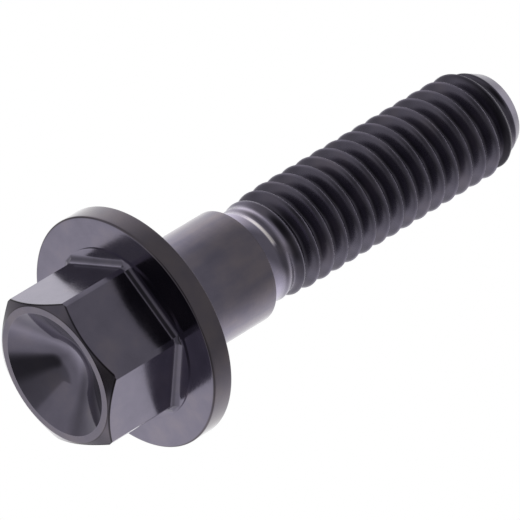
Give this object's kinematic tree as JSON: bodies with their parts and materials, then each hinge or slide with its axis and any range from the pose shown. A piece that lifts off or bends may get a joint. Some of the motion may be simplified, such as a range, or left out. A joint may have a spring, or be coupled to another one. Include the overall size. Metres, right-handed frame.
{
  "type": "hex flange bolt",
  "caption": "Short black bolt with a dished hex head on a wide round flange, a plain shank and a rolled right-hand metric thread with a coned tip.",
  "frame": {"origin": "centre of the flat rim around the dish in the head, on which the bolt stands", "axes": "+Z along the bolt's axis from the head to the tip, +X through a corner of the hex"},
  "size_m": [0.0128, 0.0128, 0.031],
  "materials": {
    "black_steel": "glossy thin black coating over turned and rolled steel"
  },
  "bodies": {
    "root": {"bolt": "black_steel"}
  },
  "joints": []
}
